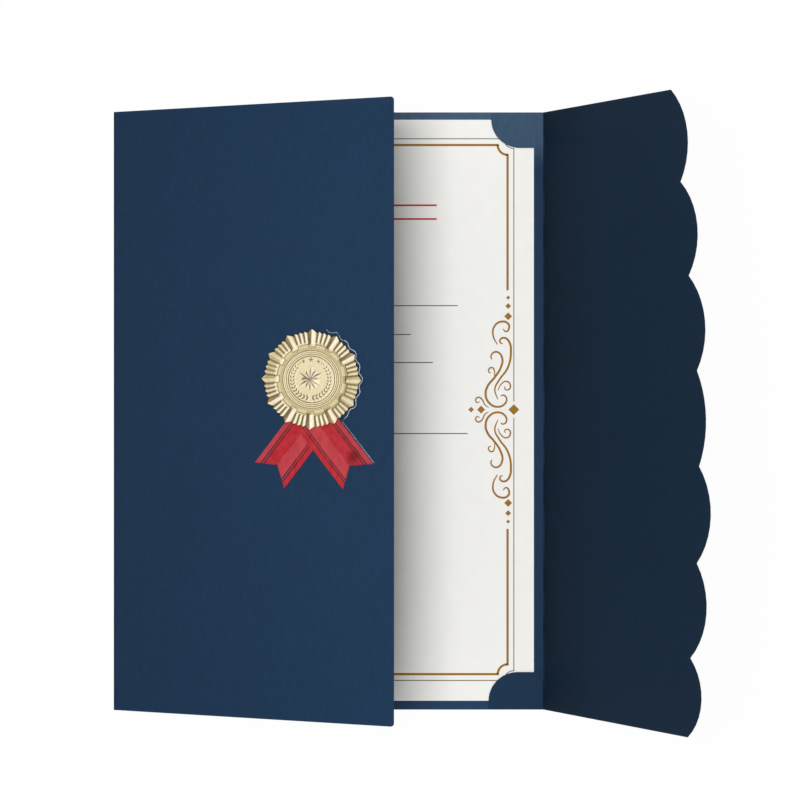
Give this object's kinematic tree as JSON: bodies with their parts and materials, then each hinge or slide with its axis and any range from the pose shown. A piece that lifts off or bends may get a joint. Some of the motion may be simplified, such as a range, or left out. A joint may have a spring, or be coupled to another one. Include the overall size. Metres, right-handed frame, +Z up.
{
  "type": "diploma cover",
  "caption": "Gatefold certificate cover of card: a plain flap with a gold seal and ribbons, a scalloped flap, corner pockets and a held A4 certificate.",
  "frame": {"origin": "centre of the back panel's underside, on the table", "axes": "+Z up from the table, +Y from the certificate's foot to its head, +X from the plain flap's crease to the scalloped flap's crease"},
  "size_m": [0.2887, 0.3046, 0.0846],
  "materials": {
    "navy_card": "matte",
    "certificate_paper": "matte",
    "gold_foil": "satin",
    "red_satin": "satin"
  },
  "bodies": {
    "back": {"back_panel": "navy_card", "certificate_sheet": "certificate_paper", "pocket_head_right": "navy_card", "pocket_foot_right": "navy_card", "pocket_head_left": "navy_card", "pocket_foot_left": "navy_card"},
    "plain_flap": {"left_flap": "navy_card", "seal_rosette": "gold_foil", "ribbon_left": "red_satin", "ribbon_right": "red_satin"},
    "scalloped_flap": {"right_flap": "navy_card"}
  },
  "joints": [
    {"name": "plain_flap_crease", "type": "hinge", "parent": "back", "child": "plain_flap", "pos_m": [-0.109, 0, 0.0009], "axis": [0, -1, 0], "range_deg": [-17.9, 160.6]},
    {"name": "scalloped_flap_crease", "type": "hinge", "parent": "back", "child": "scalloped_flap", "pos_m": [0.109, 0, 0.0009], "axis": [0, 1, 0], "range_deg": [-98, 50.2]}
  ]
}
